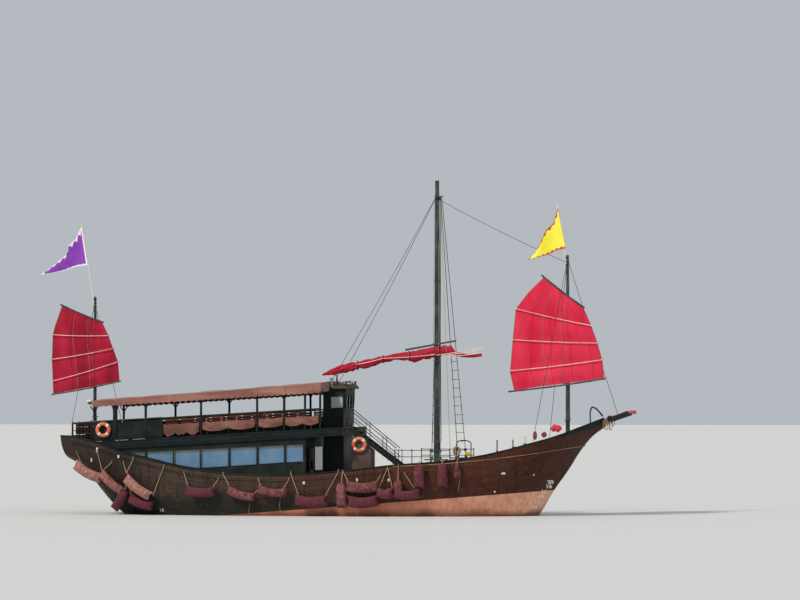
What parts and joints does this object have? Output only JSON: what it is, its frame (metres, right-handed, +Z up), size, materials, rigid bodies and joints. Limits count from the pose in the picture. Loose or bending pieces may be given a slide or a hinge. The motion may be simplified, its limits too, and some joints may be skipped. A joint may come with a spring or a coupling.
{
  "type": "chinese junk ship",
  "caption": "Motorised Chinese junk for harbour cruises: wooden hull, glazed saloon, upper deck under an awning, pilothouse, three masts with lug sails, rudder and propeller.",
  "frame": {"origin": "on the centreline amidships at the waterline", "axes": "+X towards the bow, +Y to port, +Z up"},
  "size_m": [29.9395, 8.1156, 18.38],
  "materials": {
    "hull_timber": "oiled dark hardwood planks over antifouling paint",
    "deck_timber": "weathered deck planks",
    "seat_timber": "varnished hardwood slats",
    "dark_paint": "dark green gloss paint, worn at the edges",
    "mast_paint": "black-green painted spars",
    "pale_spar": "bare bamboo and rope",
    "window_glass": "clear window glass",
    "sailcloth": "crimson woven sailcloth",
    "canvas": "faded red-brown canvas",
    "fender_cloth": "maroon canvas sacks, faded on top",
    "purple_cloth": "thin dyed bunting",
    "yellow_cloth": "thin dyed bunting",
    "buoy_orange": "orange moulded plastic with pale bands",
    "bronze": "cast and ground bronze",
    "iron": "painted cast iron"
  },
  "bodies": {
    "ship": {"hull": "hull_timber", "bulwark_stbd": "hull_timber", "bulwark_port": "hull_timber", "keel": "hull_timber", "helm": "deck_timber", "seats_stbd": "seat_timber", "seats_port": "seat_timber", "stern_bench": "seat_timber", "cap_rail_port": "dark_paint", "cap_rail_stbd": "dark_paint", "bow_beams": "dark_paint", "saloon_walls": "dark_paint", "upper_deck": "dark_paint", "upper_frame_stbd": "dark_paint", "upper_frame_port": "dark_paint", "stern_rail": "dark_paint", "awning_bows": "dark_paint", "pilothouse": "dark_paint", "pilothouse_roof": "dark_paint", "helm_trunk": "dark_paint", "stair": "dark_paint", "stair_locker": "dark_paint", "deck_rail_stbd": "dark_paint", "deck_rail_port": "dark_paint", "boom_crutch": "dark_paint", "mast_main": "mast_paint", "mast_fore": "mast_paint", "mast_mizzen": "mast_paint", "shrouds_stbd": "mast_paint", "shrouds_port": "mast_paint", "saloon_glass_stbd": "window_glass", "saloon_glass_port": "window_glass", "saloon_glass_front": "window_glass", "pilothouse_glass": "window_glass", "awning": "canvas", "dodgers_stbd": "canvas", "dodgers_port": "canvas", "fenders_stbd": "fender_cloth", "fenders_port": "fender_cloth", "pennant_stern": "purple_cloth", "pennant_fore": "yellow_cloth", "lifebuoy_aft": "buoy_orange", "lifebuoy_stair": "buoy_orange", "windlass": "iron", "engine": "iron"},
    "rudder": {"rudder": "hull_timber"},
    "propeller": {"propeller": "bronze"},
    "fore_sail": {"sail_fore": "sailcloth", "spars_fore": "pale_spar"},
    "mizzen_sail": {"sail_mizzen": "sailcloth", "spars_mizzen": "pale_spar"},
    "main_sail": {"sail_main": "sailcloth", "spars_main": "pale_spar"},
    "saloon_door": {"saloon_door": "deck_timber"},
    "pilothouse_door": {"pilothouse_door": "deck_timber"},
    "engine_hatch": {"engine_hatch": "deck_timber"}
  },
  "joints": [
    {"name": "rudder_turn", "type": "hinge", "parent": "ship", "child": "rudder", "pos_m": [-10.98, 0, 0], "axis": [0, 0, 1], "range_deg": [-35, 35]},
    {"name": "propeller_spin", "type": "hinge", "parent": "ship", "child": "propeller", "pos_m": [-10.33, 0, -1.12], "axis": [1, 0, 0], "continuous": true},
    {"name": "fore_sail_slew", "type": "hinge", "parent": "ship", "child": "fore_sail", "pos_m": [11.42, 0, 0], "axis": [0, 0, 1], "range_deg": [-75, 75]},
    {"name": "mizzen_sail_slew", "type": "hinge", "parent": "ship", "child": "mizzen_sail", "pos_m": [-12.59, 0, 0], "axis": [0, 0, 1], "range_deg": [-75, 75]},
    {"name": "main_sail_slew", "type": "hinge", "parent": "ship", "child": "main_sail", "pos_m": [4.91, 0, 0], "axis": [0, 0, 1], "range_deg": [-40, 40]},
    {"name": "saloon_door_swing", "type": "hinge", "parent": "ship", "child": "saloon_door", "pos_m": [-1.018, -2.052, 0], "axis": [0, 0, 1], "range_deg": [-100, 0]},
    {"name": "pilothouse_door_swing", "type": "hinge", "parent": "ship", "child": "pilothouse_door", "pos_m": [-0.622, 0.352, 0], "axis": [0, 0, 1], "range_deg": [-100, 0]},
    {"name": "engine_hatch_lift", "type": "hinge", "parent": "ship", "child": "engine_hatch", "pos_m": [0, 0.885, 1.405], "axis": [1, 0, 0], "range_deg": [-85, 0]}
  ]
}
